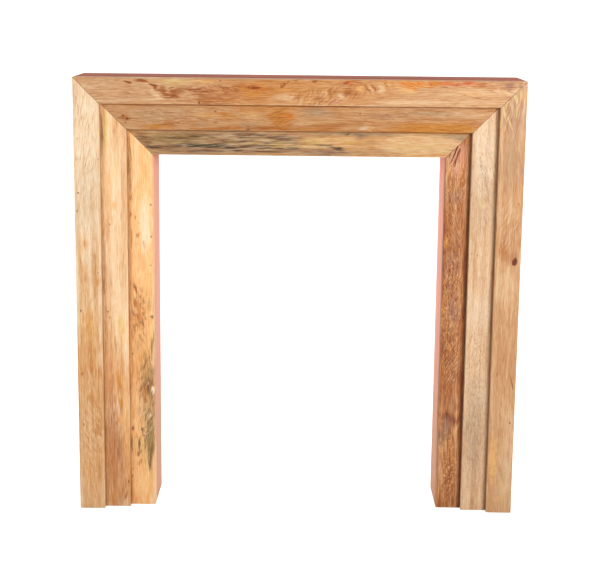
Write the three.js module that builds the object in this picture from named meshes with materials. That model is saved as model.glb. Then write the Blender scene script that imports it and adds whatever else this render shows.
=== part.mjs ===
// A stepped fireplace surround in solid mango wood. Three mitred frames stand one inside the other,
// each set back by one step from the frame round it, and every frame is a lintel on two stiles.
// Plywood boards behind them give the depth: the shelf on top, the outer sides, the returns that
// line the opening and the soffit under the lintel. The back is open, as it goes against a wall.
//
// Millimetres, +Z up, +X to the right of someone facing the fire, and the faces look along -Y.
// The origin is on the floor, in the middle of the footprint.

import * as THREE from "three";

// Overall sizes
const OVERALL_WIDTH = 1100;
const OVERALL_HEIGHT = 1092;
const OVERALL_DEPTH = 195;

// Mango boards: the width that shows of each frame, and what they share
const OUTER_FACE = 64;
const MIDDLE_FACE = 63;
const INNER_FACE = 62;
const BOARD_THICKNESS = 30;
const STEP_DEPTH = 17;
const ARRIS_RADIUS = 1.6;
const ARRIS_STEPS = 4;

// Plywood boards
const SHELF_THICKNESS = 18;
const SIDE_THICKNESS = 18;
const RETURN_THICKNESS = 18;
const SOFFIT_THICKNESS = 18;

// A glue line is left wherever one piece meets another
const GLUE_LINE = 0.3;

const FRONT = -OVERALL_DEPTH / 2;
const BACK = OVERALL_DEPTH / 2;
const HALF_WIDTH = OVERALL_WIDTH / 2;
const RIGHT_ANGLE = Math.PI / 2;

const mango = (name, color) =>
  new THREE.MeshStandardMaterial({ name, color, roughness: 0.52, metalness: 0 });

const plywood = new THREE.MeshStandardMaterial({
  name: "red_plywood",
  color: 0xb98670,
  roughness: 0.6,
  metalness: 0,
});

// The frames from the outside in. inset is how far a frame's outer edge lies inside the surround's.
const frames = [
  {
    name: "outer",
    face: OUTER_FACE,
    inset: 0,
    setBack: 0,
    woods: { left: 0xe3bd91, lintel: 0xc99a6e, right: 0xd1a27a },
  },
  {
    name: "middle",
    face: MIDDLE_FACE,
    inset: OUTER_FACE + GLUE_LINE,
    setBack: STEP_DEPTH,
    woods: { left: 0xd8a878, lintel: 0xbd8f64, right: 0xcda983 },
  },
  {
    name: "inner",
    face: INNER_FACE,
    inset: OUTER_FACE + MIDDLE_FACE + 2 * GLUE_LINE,
    setBack: 2 * STEP_DEPTH,
    woods: { left: 0xe0b478, lintel: 0xa98761, right: 0xa56a45 },
  },
];

const innermost = frames[frames.length - 1];
const OPENING_INSET = innermost.inset + innermost.face;
const OPENING_HALF_WIDTH = HALF_WIDTH - OPENING_INSET;
const OPENING_HEIGHT = OVERALL_HEIGHT - OPENING_INSET;

// A board's section, seen along its length: x runs from its outer edge to its inner edge, and y
// from its face into its thickness. The face's own corners are eased where nothing covers them.
function boardSection(face, easedOuterEdge) {
  const section = new THREE.Shape();
  section.moveTo(0, BOARD_THICKNESS);
  if (easedOuterEdge) {
    section.lineTo(0, ARRIS_RADIUS);
    section.absarc(ARRIS_RADIUS, ARRIS_RADIUS, ARRIS_RADIUS, Math.PI, 3 * RIGHT_ANGLE, false);
  } else {
    section.lineTo(0, 0);
  }
  section.lineTo(face - ARRIS_RADIUS, 0);
  section.absarc(face - ARRIS_RADIUS, ARRIS_RADIUS, ARRIS_RADIUS, -RIGHT_ANGLE, 0, false);
  section.lineTo(face, BOARD_THICKNESS);
  section.closePath();
  return section;
}

// A board along +Z from 0 to length. A mitred end slopes at 45 degrees, so the board is longest
// along its outer edge, and stops half a glue line short of the mitre's own plane.
function mitredBoard(frame, length, mitredStart, mitredEnd) {
  const section = boardSection(frame.face, frame.inset === 0);
  const board = new THREE.ExtrudeGeometry(section, {
    depth: length,
    bevelEnabled: false,
    curveSegments: ARRIS_STEPS,
  });
  const shortfall = (GLUE_LINE / 2) * Math.SQRT2;
  const corners = board.getAttribute("position");
  for (let i = 0; i < corners.count; i += 1) {
    const across = corners.getX(i);
    const atEnd = corners.getZ(i) > length / 2;
    if (atEnd && mitredEnd) corners.setZ(i, length - across - shortfall);
    if (!atEnd && mitredStart) corners.setZ(i, across + shortfall);
  }
  board.computeVertexNormals();
  return board;
}

// The stiles are one board, once as it is and once turned over end for end about the surround's
// middle: the right one is mirrored in its own vertices, so that no mesh has a negative scale.
function mirrorAcross(board) {
  const corners = board.getAttribute("position");
  for (let i = 0; i < corners.count; i += 1) corners.setX(i, -corners.getX(i));
  for (let i = 0; i < corners.count; i += 3) {
    const second = new THREE.Vector3().fromBufferAttribute(corners, i + 1);
    const third = new THREE.Vector3().fromBufferAttribute(corners, i + 2);
    corners.setXYZ(i + 1, third.x, third.y, third.z);
    corners.setXYZ(i + 2, second.x, second.y, second.z);
  }
  board.computeVertexNormals();
  return board;
}

function piece(name, geometry, material, x, y, z) {
  const mesh = new THREE.Mesh(geometry, material);
  mesh.name = name;
  mesh.position.set(x, y, z);
  return mesh;
}

// One frame: two stiles mitred at the top, and the lintel mitred at both ends
function mitredFrame(frame) {
  const group = new THREE.Group();
  group.position.y = FRONT + frame.setBack;
  const halfWidth = HALF_WIDTH - frame.inset;
  const height = OVERALL_HEIGHT - frame.inset;

  const stile = mitredBoard(frame, height, false, true);
  const leftWood = mango(`mango_${frame.name}_left`, frame.woods.left);
  group.add(piece(`${frame.name}_stile_left`, stile, leftWood, -halfWidth, 0, 0));

  const mirrored = mirrorAcross(stile.clone());
  const rightWood = mango(`mango_${frame.name}_right`, frame.woods.right);
  group.add(piece(`${frame.name}_stile_right`, mirrored, rightWood, halfWidth, 0, 0));

  const rail = mitredBoard(frame, 2 * halfWidth, true, true);
  const lintelWood = mango(`mango_${frame.name}_lintel`, frame.woods.lintel);
  const lintel = piece(`${frame.name}_lintel`, rail, lintelWood, -halfWidth, 0, height);
  lintel.rotation.y = RIGHT_ANGLE;
  group.add(lintel);
  return group;
}

// A plywood board between two corners
function plyBoard(name, low, high) {
  const size = new THREE.Vector3().subVectors(high, low);
  const centre = new THREE.Vector3().addVectors(low, high).multiplyScalar(0.5);
  const board = new THREE.BoxGeometry(size.x, size.y, size.z);
  return piece(name, board, plywood, centre.x, centre.y, centre.z);
}

// The shelf lies on the two sides, flush with the outer frame's top and ends
function shelf() {
  const behindOuter = FRONT + BOARD_THICKNESS + GLUE_LINE;
  return plyBoard(
    "shelf",
    new THREE.Vector3(-HALF_WIDTH, behindOuter, OVERALL_HEIGHT - SHELF_THICKNESS),
    new THREE.Vector3(HALF_WIDTH, BACK, OVERALL_HEIGHT),
  );
}

function side(name, direction) {
  const outside = direction * HALF_WIDTH;
  const inside = direction * (HALF_WIDTH - SIDE_THICKNESS);
  const behindOuter = FRONT + BOARD_THICKNESS + GLUE_LINE;
  return plyBoard(
    name,
    new THREE.Vector3(Math.min(outside, inside), behindOuter, 0),
    new THREE.Vector3(
      Math.max(outside, inside),
      BACK,
      OVERALL_HEIGHT - SHELF_THICKNESS - GLUE_LINE,
    ),
  );
}

// The returns and the soffit start behind the innermost frame and line the opening to the back
const BEHIND_INNER = FRONT + innermost.setBack + BOARD_THICKNESS + GLUE_LINE;

function openingReturn(name, direction) {
  const lining = direction * OPENING_HALF_WIDTH;
  const cavity = direction * (OPENING_HALF_WIDTH + RETURN_THICKNESS);
  return plyBoard(
    name,
    new THREE.Vector3(Math.min(lining, cavity), BEHIND_INNER, 0),
    new THREE.Vector3(Math.max(lining, cavity), BACK, OPENING_HEIGHT - GLUE_LINE),
  );
}

function soffit() {
  const halfWidth = OPENING_HALF_WIDTH + RETURN_THICKNESS;
  return plyBoard(
    "soffit",
    new THREE.Vector3(-halfWidth, BEHIND_INNER, OPENING_HEIGHT),
    new THREE.Vector3(halfWidth, BACK, OPENING_HEIGHT + SOFFIT_THICKNESS),
  );
}

const surround = new THREE.Group();
frames.forEach((frame) => surround.add(mitredFrame(frame)));
surround.add(
  shelf(),
  side("side_left", -1),
  side("side_right", 1),
  openingReturn("return_left", -1),
  openingReturn("return_right", 1),
  soffit(),
);

export default surround;
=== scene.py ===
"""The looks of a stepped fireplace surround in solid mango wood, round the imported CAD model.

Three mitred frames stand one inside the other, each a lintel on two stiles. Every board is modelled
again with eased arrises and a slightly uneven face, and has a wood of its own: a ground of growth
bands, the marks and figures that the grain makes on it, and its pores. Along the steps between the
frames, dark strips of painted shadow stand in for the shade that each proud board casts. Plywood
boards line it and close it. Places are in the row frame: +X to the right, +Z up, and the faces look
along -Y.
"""

import math
from typing import NamedTuple

import bmesh
import bpy
from mathutils import Matrix, Vector


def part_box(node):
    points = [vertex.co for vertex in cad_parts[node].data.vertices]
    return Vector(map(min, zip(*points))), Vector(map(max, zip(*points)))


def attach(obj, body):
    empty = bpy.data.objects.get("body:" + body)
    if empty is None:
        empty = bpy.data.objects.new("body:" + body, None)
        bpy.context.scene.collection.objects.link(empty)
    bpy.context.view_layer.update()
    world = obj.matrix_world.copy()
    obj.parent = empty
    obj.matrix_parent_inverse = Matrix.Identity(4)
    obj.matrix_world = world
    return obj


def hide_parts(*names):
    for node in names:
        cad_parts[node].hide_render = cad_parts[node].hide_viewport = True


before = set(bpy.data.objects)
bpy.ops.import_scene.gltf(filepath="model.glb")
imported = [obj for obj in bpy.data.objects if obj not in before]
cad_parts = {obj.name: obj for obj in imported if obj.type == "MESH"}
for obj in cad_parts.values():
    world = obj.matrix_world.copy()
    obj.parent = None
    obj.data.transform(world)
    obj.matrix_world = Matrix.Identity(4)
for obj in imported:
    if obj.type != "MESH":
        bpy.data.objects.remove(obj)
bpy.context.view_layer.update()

bl_info = {
    "name": "Stepped mango wood fireplace surround",
    "version": (1, 0, 0),
    "blender": (4, 5, 0),
    "location": "3D View > Sidebar > Surround",
    "description": "Models the boards of a stepped fireplace surround and gives them their woods",
    "category": "Object",
}

MM = 0.001


def linear(srgb):
    """An sRGB hex colour as linear red, green and blue."""
    shares = [int(srgb[i : i + 2], 16) / 255 for i in (0, 2, 4)]
    return tuple(s / 12.92 if s <= 0.04045 else ((s + 0.055) / 1.055) ** 2.4 for s in shares)


def tone(name, description, srgb):
    """A colour that the user can change, given as sRGB hex."""
    return bpy.props.FloatVectorProperty(
        name=name,
        description=description,
        default=linear(srgb),
        size=3,
        min=0.0,
        max=1.0,
        subtype="COLOR",
    )


def length(name, description, millimetres):
    """A length that the user can change, given in millimetres."""
    return bpy.props.FloatProperty(
        name=name,
        description=description,
        default=millimetres * MM,
        min=0.0,
        unit="LENGTH",
        subtype="DISTANCE",
    )


def amount(name, description, value, most=1.0, unit="NONE"):
    """A number that the user can change."""
    return bpy.props.FloatProperty(
        name=name,
        description=description,
        default=value,
        min=0.0,
        max=most,
        unit=unit,
    )


class SurroundSizes(bpy.types.PropertyGroup):
    """Sizes of what the boards' makers did to them."""

    arris: length("Arris", "Radius that eases a board's open front edges", 1.6)
    tight_arris: length("Tight arris", "Radius on a front edge that meets the next frame", 0.5)
    sawn_arris: length("Sawn arris", "Radius on a board's rear edges", 0.8)
    ply_arris: length("Plywood arris", "Radius on a plywood board's edges", 0.7)
    unevenness: length("Unevenness", "How deep the planed faces dip", 0.5)
    dip: length("Dip", "Distance from one dip of a face to the next", 70)
    ply: length("Ply", "Thickness of one ply", 2.6)
    veneer: length("Veneer", "Thickness of the plywood's face veneer", 0.7)


class MangoTones(bpy.types.PropertyGroup):
    """Tones of mango wood, from sapwood to spalting."""

    cream: tone("Cream", "Palest sapwood", "FBE3C2")
    sap: tone("Sapwood", "Plain sapwood", "EFC79B")
    straw: tone("Straw", "Yellow sapwood between spalt lines", "EBCB86")
    honey: tone("Honey", "Golden sapwood", "F3BC7C")
    tan: tone("Tan", "Wood between sap and heart", "D9A678")
    amber: tone("Amber", "Golden heartwood", "D28A44")
    orange: tone("Orange", "Bright heartwood round a knot", "E5873C")
    flame: tone("Flame", "Red-orange heartwood at an edge", "D4663A")
    copper: tone("Copper", "Brown-orange heartwood", "C17C47")
    rust: tone("Rust", "Red-brown heartwood", "A45A2C")
    ember: tone("Ember", "Heart of a knot", "7C3012")
    rose: tone("Rose", "Pink-brown heartwood", "DB9C7C")
    mauve: tone("Mauve", "Dull purple-brown heartwood", "AE7C64")
    umber: tone("Umber", "Dark brown of pin knots and gum", "74482A")
    olive: tone("Olive", "Green-brown stain", "957543")
    greige: tone("Greige", "Greyed wood", "BC9C7A")
    slate: tone("Slate", "Blue-grey stain", "7C6A5C")
    black: tone("Black", "Spalt line", "40301F")


class PlywoodTones(bpy.types.PropertyGroup):
    """Tones of red-faced hardwood plywood."""

    veneer: tone("Veneer", "Face veneer", "F5B8A2")
    veneer_dark: tone("Veneer streak", "Darker streaks of the face veneer", "DB967F")
    # Painted shade: the veneer darker and browner towards the floor, where less light falls
    veneer_foot: tone("Veneer foot", "Face veneer near the floor", "CFA080")
    # Painted light: a lighter copy of the face veneer, for the right return
    lit_veneer: tone("Lit veneer", "Face veneer of the right return", "FFC2AE")
    lit_dark: tone("Lit streak", "Darker streaks of the right return's veneer", "E9A08A")
    # Partly painted shade: the shelf's top is darker and redder than the other faces, as the lights
    # only graze it
    shelf_veneer: tone("Shelf veneer", "Face veneer of the shelf", "BE6440")
    shelf_dark: tone("Shelf streak", "Darker streaks of the shelf's veneer", "954A34")
    ply_light: tone("Light ply", "Ply that shows its long grain at an edge", "D2AB84")
    ply_dark: tone("Dark ply", "Ply that shows its end grain at an edge", "9C7150")
    glue: tone("Glue", "Glue line between plies", "5C3E2A")


class StageSettings(bpy.types.PropertyGroup):
    """Lights, floor and room."""

    right_light: amount("Right light", "Power of the harder light, in watts", 38.0, 1000.0, "POWER")
    left_light: amount("Left light", "Power of the softer light, in watts", 29.0, 1000.0, "POWER")
    room_light: amount("Room light", "Strength of the light from in front and the sides", 0.10)
    backdrop_light: amount("Backdrop light", "Strength of the light from behind", 1.3, 10.0)
    floor_glow: amount("Floor glow", "How much the floor shines towards the camera alone", 0.75)


def deselect_everything():
    """Makes sure that the next operator acts on nothing but what is selected after this."""
    bpy.ops.object.select_all(action="DESELECT")


def select_alone(piece):
    """Selects one piece and makes it the active one."""
    deselect_everything()
    piece.select_set(True)
    bpy.context.view_layer.objects.active = piece


def start_edit():
    """Opens the active piece's mesh, with everything in it selected."""
    bpy.ops.object.mode_set(mode="EDIT")
    bpy.ops.mesh.select_mode(type="EDGE")
    bpy.ops.mesh.select_all(action="SELECT")


def end_edit():
    """Closes the mesh again."""
    bpy.ops.object.mode_set(mode="OBJECT")


def select_edges(wanted):
    """Selects the edges of the mesh in edit mode for which wanted(start, end) is true."""
    mesh = bmesh.from_edit_mesh(bpy.context.edit_object.data)
    bpy.ops.mesh.select_all(action="DESELECT")
    for edge in mesh.edges:
        start, end = (vertex.co for vertex in edge.verts)
        edge.select_set(wanted(start, end))
    bmesh.update_edit_mesh(bpy.context.edit_object.data)


# Two places closer than this are the same place
SAME_PLACE = 0.01 * MM


def near(a, b):
    """Says whether two places along an axis are the same."""
    return abs(a - b) < SAME_PLACE


def add_block(name, low, high):
    """A block between two corners, with its place and size in its mesh."""
    deselect_everything()
    bpy.ops.mesh.primitive_cube_add(size=1.0, location=(low + high) / 2, scale=high - low)
    bpy.ops.object.transform_apply(location=True, rotation=True, scale=True)
    block = bpy.context.active_object
    block.name = name
    block.data.name = name
    return block


def cut_all(place, direction, away=False):
    """Cuts what is in edit mode by a plane, and takes off what lies in its direction if away."""
    bpy.ops.mesh.select_all(action="SELECT")
    bpy.ops.mesh.bisect(plane_co=place, plane_no=direction, use_fill=away, clear_outer=away)


# An eased edge is round in this many facets
ARRIS_FACETS = 3


def ease_edges(radius, wanted):
    """Rounds the wanted edges of the mesh in edit mode."""
    select_edges(wanted)
    bpy.ops.mesh.bevel(offset=radius, segments=ARRIS_FACETS, affect="EDGES", clamp_overlap=True)


def apply_modifiers(piece):
    """Makes what a piece's modifiers do to it part of its mesh."""
    select_alone(piece)
    for modifier in list(piece.modifiers):
        bpy.ops.object.modifier_apply(modifier=modifier.name)


class Mark(NamedTuple):
    """A soft ellipse of one tone on a board, in millimetres along and across it. Along runs up a
    stile and to the right on a lintel. A mark longer than its board runs from end to end."""

    what: str
    along: float
    across: float
    half_length: float
    half_width: float
    tone: str
    # How strongly it covers what is under it, from 0 to 1
    strength: float
    # How far its edge fades in towards its middle, as a share of its size
    soft: float
    # How far its edge frays along the grain, from 0 for a clean one
    ragged: float = 0.0
    # How far it is turned, in degrees
    lean: float = 0.0


class Figure(NamedTuple):
    """Strokes of one tone inside a soft ellipse, where the grain curls, leans or is spalted."""

    what: str
    along: float
    across: float
    half_length: float
    half_width: float
    tone: str
    strength: float
    # How far the strokes are turned from the board's length, in degrees
    turn: float
    # How long and how wide one stroke is, in millimetres
    long: float
    wide: float


class Ground(NamedTuple):
    """What a board's wood is like under its marks."""

    # Tones of its growth bands
    dark: str
    middle: str
    light: str
    # How much its fine streaks and its pores show, from 0 to 1
    streak_share: float
    pore_share: float
    # How rich and how light the board is as a whole, as shares of its tones
    richness: float
    lightness: float


class Crack(NamedTuple):
    """A drying crack in a board's face, in millimetres. Its lean is in degrees."""

    along: float
    across: float
    length: float
    width: float
    depth: float
    lean: float


# The marks of each board, in the order in which they are painted one over the other. The strips
# along the steps between the frames are painted shadows
MARKS = {
    "outer_stile_left": (
        ("honey foot", 80, -518, 110, 32, "honey", 0.5, 0.9, 0.3),
        ("pale foot", 145, -502, 45, 22, "sap", 0.5, 0.9, 0.3),
        ("amber veil", 610, -515, 110, 60, "amber", 0.25, 0.9, 0.2),
        ("light foot", 50, -505, 110, 42, "sap", 0.75, 0.9, 0.2),
        ("cream top", 914, -520, 341, 53.6, "cream", 0.85, 0.7, 0.07),
        ("warm band", 685, -527, 40, 17.3, "honey", 0.5, 0.8, 0.35),
        ("amber lower half", 219, -520, 328, 65.8, "amber", 0.36, 0.55, 0.15),
        ("amber patch 1", 680, -526, 20, 8.9, "amber", 0.5, 0.7, 0.49),
        ("amber streak", 595, -523, 37.8, 6.4, "amber", 0.5, 0.7, 0.49),
        ("amber patch 2", 590, -496, 20.2, 8.9, "amber", 0.5, 0.7, 0.42),
        ("amber patch 3", 658, -503, 12.5, 7.4, "amber", 0.5, 0.7, 0.42),
        ("mauve stripe", 638, -508, 60.2, 7.4, "mauve", 0.25, 0.8, 0.24),
        ("honey field", 478, -516, 61.3, 29.9, "honey", 0.55, 0.8, 0.18),
        ("pale streak 1", 462, -528, 64, 3.2, "cream", 0.5, 0.6, 0.12),
        ("pale streak 2", 344, -519, 49.2, 4.3, "cream", 0.55, 0.6, 0.28, -13),
        ("dark streak", 360, -514, 20.7, 4, "copper", 0.6, 0.7, 0.35, -8),
        ("copper patch", 292, -520, 20.8, 15.1, "copper", 0.55, 0.7, 0.49, 20),
        ("amber edge", 344, -493, 41.4, 6.5, "amber", 0.5, 0.7, 0.42),
        ("arc 1", 264, -498, 15.7, 2.8, "rust", 0.5, 0.6, 0.21, -25),
        ("arc 2", 197, -493, 7.9, 2.5, "rust", 0.6, 0.6, 0.14, -70),
        ("rust dot 1", 359, -538, 6.7, 4, "rust", 0.7, 0.6, 0.14),
        ("rust dot 2", 225, -539, 5.8, 3, "rust", 0.7, 0.6, 0.14),
        ("pin 1", 810, -540, 3.4, 2.7, "umber", 0.95, 0.5),
        ("pin 2", 893, -490, 3.4, 2, "umber", 0.6, 0.5),
        ("pin 3", 1043, -541, 3.1, 2.2, "umber", 0.6, 0.5),
        ("pin 4", 943, -540, 3.2, 2.2, "umber", 0.5, 0.5),
        ("pin 5", 515, -539, 5.1, 2.7, "umber", 0.8, 0.5),
        ("pin 6", 765, -543, 4.5, 3.9, "slate", 0.6, 0.5),
        ("pin 7", 612, -495, 2.8, 2.2, "rust", 0.7, 0.5),
        ("amber drift", 400, -518, 180, 70, "amber", 0.5, 0.9, 0.2),
        ("grey veil", 800, -520, 170, 60, "greige", 0.22, 0.9, 0.2),
    ),
    "outer_lintel": (
        ("amber drift right", 208, 1078, 45, 20, "amber", 0.5, 0.9, 0.3),
        ("copper drift left", -300, 1047, 55, 22, "copper", 0.45, 0.9, 0.3),
        ("copper drift", -105, 1066, 175, 48, "copper", 0.8, 0.9, 0.2),
        ("copper drift right", 132, 1078, 42, 26, "copper", 0.5, 0.9, 0.3),
        ("brown drift corner", 480, 1078, 60, 30, "copper", 0.5, 0.9, 0.3),
        ("amber heart", 10, 1062, 330, 60, "amber", 0.62, 0.8, 0.15),
        ("tan end", -445, 1065, 109, 38.3, "tan", 0.55, 0.8, 0.18),
        ("straw top edge", -307, 1084, 62.7, 11.9, "straw", 0.55, 0.7, 0.24),
        ("light wedge", -348, 1052, 26.6, 8.4, "sap", 0.8, 0.5, 0.21, -45),
        ("grey tint", -404, 1044, 16.9, 7.2, "greige", 0.45, 0.8, 0.28),
        ("copper field", -211, 1046, 95, 25, "copper", 0.8, 0.6, 0.4),
        ("rust field", -222, 1045, 80, 21, "rust", 0.4, 0.8, 0.4),
        ("rust V, left arm", -327, 1055, 29, 13, "rust", 0.85, 0.45, 0.5, -38),
        ("rust V, foot", -303, 1051, 19.3, 15.6, "rust", 0.92, 0.5, 0.55, 10),
        ("rust band, start", -382, 1085, 22, 5, "rust", 1, 0.5, 0.42, -8),
        ("rust band, bend", -358, 1073, 20, 5.5, "rust", 1, 0.5, 0.35, -36),
        ("rust arm, right", -273, 1065, 52, 7, "rust", 0.75, 0.6, 0.8, 2),
        ("dark dashes 1", -264, 1064, 16.9, 3.6, "rust", 0.8, 0.6, 0.56, -8),
        ("dark dashes 2", -230, 1061, 19.3, 3.6, "rust", 0.8, 0.6, 0.56, -10),
        ("dark dashes 3", -201, 1061, 10.9, 3.6, "rust", 0.8, 0.6, 0.56, -20),
        ("dark dashes 4", -172, 1067, 9.7, 3.6, "rust", 0.8, 0.6, 0.56, -15),
        ("brown spot 1", -417, 1081, 10, 4.4, "rust", 1, 0.5, 0.28, -18),
        ("brown spot 2", -310, 1068, 9.7, 2.4, "umber", 0.7, 0.5, 0.35, 15),
        ("brown dash 1", -367, 1054, 10.9, 2.2, "umber", 0.55, 0.6, 0.28, -30),
        ("brown dash 2", -416, 1054, 9.7, 1.9, "umber", 0.4, 0.6, 0.28, -15),
        ("swirl eye", -310, 1046, 7.7, 4.8, "ember", 0.5, 0.6, 0.21),
        ("honey top", -228, 1085, 62.7, 9.6, "honey", 0.55, 0.7, 0.21),
        ("amber field", -114, 1054, 38.6, 16.8, "amber", 0.8, 0.7, 0.42),
        ("orange halo", -107, 1071, 41, 13.2, "orange", 0.85, 0.8, 0.28),
        ("red knot", -111, 1071, 25.3, 6.5, "ember", 0.95, 0.6, 0.35),
        ("red knot eye", -118, 1070, 2.9, 1.7, "orange", 0.9, 0.6),
        ("ring knot", -41.9, 1077, 9.6, 7.7, "rust", 1, 0.5, 0.14),
        ("ring knot eye", -41.9, 1078, 4.1, 3.3, "rose", 0.5, 0.6),
        ("ring knot tail", -29.9, 1085, 9.6, 2.6, "rust", 0.7, 0.6, 0.21, 35),
        ("pale field", -34.4, 1047, 43.5, 16.8, "sap", 0.6, 0.7, 0.35),
        ("rust dash", -13, 1087, 12, 2.4, "rust", 0.7, 0.6, 0.35),
        ("brown spot 3", 36.4, 1086, 6.5, 4.1, "rust", 0.85, 0.5, 0.14),
        ("rose field", 84.1, 1042, 26.6, 13.2, "rose", 0.75, 0.7, 0.35),
        ("cream swirl", 97.2, 1053, 12.1, 7.2, "cream", 0.4, 0.6, 0.28, -15),
        ("honey swirl", 30.7, 1060, 19.3, 8.4, "honey", 0.6, 0.6, 0.21, 25),
        ("dark stroke 1", 40.5, 1046, 19.3, 2.2, "rust", 0.7, 0.6, 0.21, 26),
        ("dark stroke 2", 50.3, 1040, 14.5, 2.4, "rust", 0.65, 0.6, 0.21, 58),
        ("dark stroke 3", 69.5, 1045, 16.9, 2.6, "rust", 0.65, 0.6, 0.21, 64),
        ("dark stroke 4", 76.5, 1063, 12.1, 2.4, "rust", 0.5, 0.6, 0.21, 70),
        ("flame block, top", 117, 1085, 14.5, 8.1, "flame", 0.8, 0.5, 0.7),
        ("flame block, foot", 116, 1064, 13.3, 12, "copper", 0.95, 0.5, 0.42),
        ("red fleck", 112, 1085, 6.3, 3.8, "ember", 0.5, 0.6, 0.21, 20),
        ("honey round", 139, 1071, 15.7, 9.6, "honey", 0.9, 0.5, 0.35),
        ("arc, top", 141, 1085, 20.5, 2.9, "rust", 0.8, 0.6, 0.21, -6),
        ("arc, side", 161, 1070, 14.5, 4.5, "rust", 0.75, 0.6, 0.21, -66),
        ("light S line", 170, 1071, 18.1, 3.1, "sap", 0.7, 0.6, 0.14, -75),
        ("S swirl", 178, 1072, 13.3, 3.1, "rust", 0.8, 0.5, 0.21, -82),
        ("light field right", 195, 1069, 12.1, 14.4, "sap", 0.8, 0.6, 0.21),
        ("thin arc", 197, 1049, 19.3, 1.7, "copper", 0.6, 0.6, 0.14, -9),
        ("rust dash 2", 209, 1081, 8.4, 3.3, "rust", 0.7, 0.6, 0.21, 58),
        ("honey field", 256, 1069, 40, 13, "honey", 0.75, 0.6, 0.5, 3),
        ("orange band", 285, 1086, 135, 12, "orange", 0.8, 0.6, 0.5),
        ("orange flame", 274, 1081, 48, 16, "orange", 0.85, 0.5, 0.49, 2),
        ("flame edge", 378, 1083, 78, 9, "flame", 0.9, 0.6, 0.7),
        ("flame wisp", 400, 1084, 52, 8, "flame", 0.55, 0.6, 0.8),
        ("honey tongue", 262, 1063, 14.5, 10.8, "honey", 0.5, 0.6, 0.35),
        ("straight pale foot", 256, 1039, 121, 9.6, "sap", 0.75, 0.7, 0.15),
        ("amber flame end", 320, 1084, 21.7, 7.2, "amber", 0.9, 0.5, 0.35),
        ("red fleck 2", 315, 1082, 6.3, 5.7, "flame", 0.8, 0.6, 0.21, 30),
        ("red line", 344, 1077, 15.7, 2.4, "rust", 0.75, 0.6, 0.35),
        ("rust dash 3", 382, 1085, 8.7, 3.6, "rust", 0.75, 0.6, 0.28),
        ("flame spot", 406, 1086, 12, 8.1, "flame", 0.7, 0.5, 0.56),
        ("copper spot", 439, 1082, 12, 8.1, "copper", 0.95, 0.5, 0.56, 20),
        ("honey field right", 414, 1062, 67.5, 10.1, "honey", 0.4, 0.6, 0.6, -7),
        ("long diagonal line", 422, 1054, 65.1, 1.9, "copper", 0.7, 0.6, 0.06, -13),
        ("mauve corner", 500, 1080, 26.5, 13.1, "mauve", 0.9, 0.7, 0.35, -15),
        ("grey knot", 528, 1082, 11.6, 8.1, "slate", 0.7, 0.6, 0.42),
        ("corner line", 513, 1066, 14.5, 2.2, "umber", 0.55, 0.6, 0.21, -35),
        ("dot 1", -243, 1033, 3.6, 3.4, "umber", 0.95, 0.5),
        ("dot 2", -192, 1086, 3.4, 2.4, "umber", 0.7, 0.5),
    ),
    "outer_stile_right": (
        ("grey veil", 880, 520, 80, 60, "greige", 0.5, 0.9, 0.2),
        ("brown drift upper", 715, 515, 90, 60, "copper", 0.45, 0.9, 0.3),
        ("light edge low", 240, 534, 100, 18, "sap", 0.6, 0.9, 0.2),
        ("brown drift", 430, 512, 170, 70, "copper", 0.3, 0.9, 0.15),
        ("brown drift top", 900, 516, 280, 80, "copper", 0.28, 0.9, 0.15),
        ("light foot", 110, 530, 180, 42, "sap", 0.7, 0.9, 0.2),
        ("mauve ground top", 1010, 515, 81.9, 38.7, "mauve", 0.5, 0.7, 0.15),
        ("golden stroke 1", 1049, 523, 19.2, 3.4, "straw", 0.95, 0.5, 0.14, -14),
        ("golden stroke 2", 1020, 526, 19.2, 2.9, "straw", 0.8, 0.5, 0.14, 8),
        ("golden stroke 3", 1015, 497, 24.1, 3.4, "straw", 0.9, 0.5, 0.21, -12),
        ("golden stroke 4", 1034, 502, 19.2, 2.4, "straw", 0.75, 0.5, 0.14, 14),
        ("golden stroke 5", 991, 512, 21.7, 2.7, "straw", 0.75, 0.5, 0.14, -18),
        ("golden stroke 6", 1049, 543, 21.6, 2.9, "honey", 0.8, 0.5, 0.21),
        ("golden stroke 7", 996, 489, 24.1, 2.7, "straw", 0.6, 0.5, 0.21, 8),
        ("golden stroke 8", 1006, 506, 20, 2.2, "straw", 0.7, 0.5, 0.14, 20),
        ("golden stroke 9", 1038, 512, 22, 2.4, "straw", 0.75, 0.5, 0.14, -10),
        ("golden stroke 10", 976, 499, 18, 2.2, "honey", 0.75, 0.5, 0.14, 12),
        ("golden stroke 11", 1058, 534, 16, 2.4, "straw", 0.7, 0.5, 0.14, 10),
        ("grey middle", 926, 516, 72.9, 29.1, "greige", 0.4, 0.8, 0.15),
        ("honey edge", 804, 540, 69, 5.4, "honey", 0.35, 0.6, 0.15),
        ("copper shoulder", 674, 506, 35, 27.1, "copper", 0.75, 0.6, 0.42),
        ("knot halo", 659, 530, 30, 16, "rust", 0.55, 0.8, 0.21),
        ("knot", 649, 534, 11.5, 7.9, "ember", 1, 0.35, 0.07, -12),
        ("knot heart", 651, 533, 5, 2.5, "black", 0.5, 0.6, 0, -30),
        ("pale block", 586, 514, 66, 42, "sap", 0.6, 0.8, 0.15),
        ("tan block", 477, 514, 66.4, 32.4, "tan", 0.45, 0.8, 0.18),
        ("short pale streak", 480, 508, 23, 2.2, "cream", 0.25, 0.6, 0.14),
        ("pale streak", 268, 519, 52.2, 4.5, "sap", 0.6, 0.6, 0.28),
        ("rust tick", 365, 501, 7.7, 2.3, "rust", 0.7, 0.6, 0.14, 30),
        ("edge arc 1", 338, 541, 20.7, 2.3, "umber", 0.75, 0.6, 0.14, -10),
        ("edge arc 2", 354, 536, 18.1, 1.5, "rust", 0.6, 0.6, 0.14, -6),
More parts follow.
